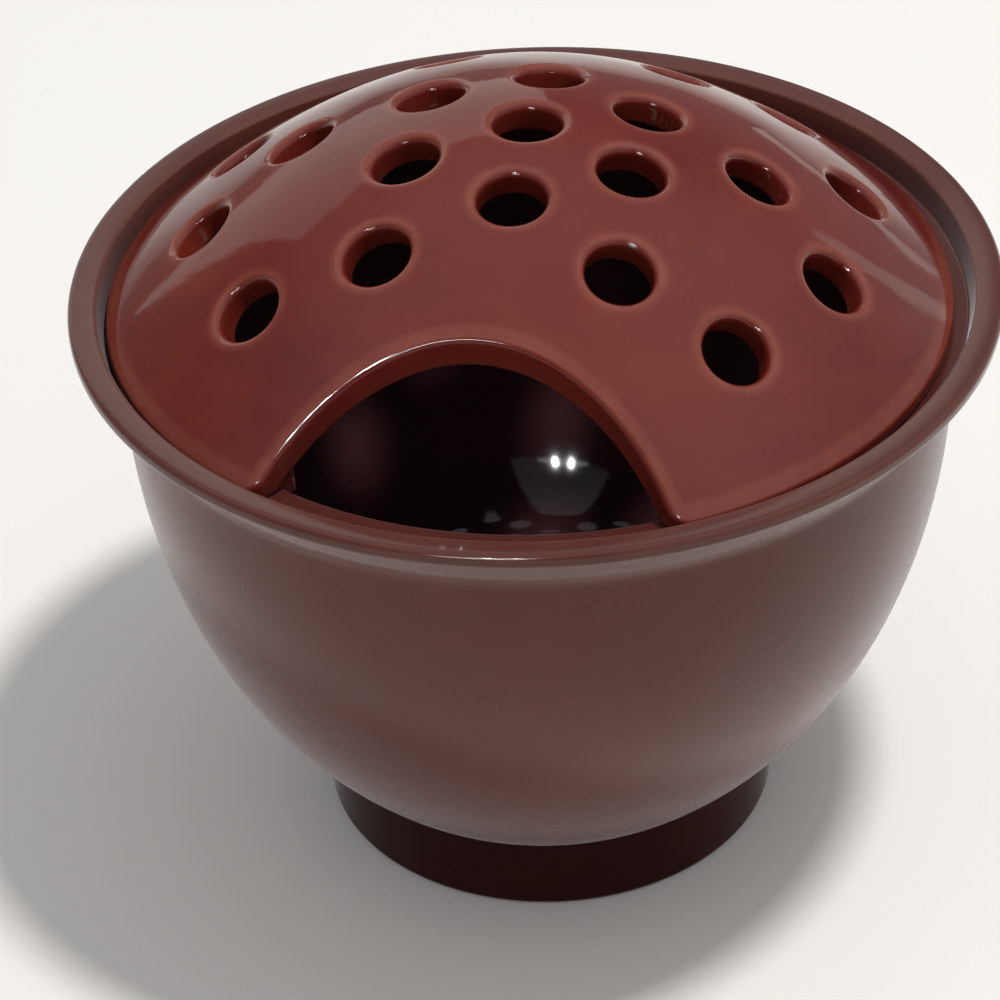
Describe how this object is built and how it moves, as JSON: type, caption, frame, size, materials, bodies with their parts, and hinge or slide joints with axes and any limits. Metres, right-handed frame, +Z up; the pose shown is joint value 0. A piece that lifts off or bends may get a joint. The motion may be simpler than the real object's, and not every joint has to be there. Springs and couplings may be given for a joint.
{
  "type": "ikebana bowl with perforated dome cover",
  "caption": "Glazed footed bowl with a flared lip, and a lift-off dome cover pierced with stem holes and a round watering arch.",
  "frame": {"origin": "centre of the foot's underside, on the surface that the bowl stands on", "axes": "+Z up along the bowl's axis; -Y towards the watering arch at the cover's front; +X to the right as seen from the front"},
  "size_m": [0.2, 0.2, 0.1728],
  "materials": {
    "body_glaze": "satin gloss, dark red-brown",
    "foot_glaze": "gloss, deep maroon",
    "cover_glaze": "gloss, red-brown, paler at the edges"
  },
  "bodies": {
    "vessel": {"bowl_base": "body_glaze", "bowl_belly": "body_glaze", "bowl_shoulder": "body_glaze", "bowl_lip": "body_glaze", "foot_ring": "foot_glaze"},
    "cover": {"cover_back_right": "cover_glaze", "cover_back_left": "cover_glaze", "cover_left": "cover_glaze", "cover_front_left": "cover_glaze", "cover_front_right": "cover_glaze", "cover_right": "cover_glaze", "cover_locating_ring": "cover_glaze"}
  },
  "joints": [
    {"name": "cover_lift", "type": "slide", "parent": "vessel", "child": "cover", "axis": [0, 0, 1], "range_m": [0, 0.05]}
  ]
}
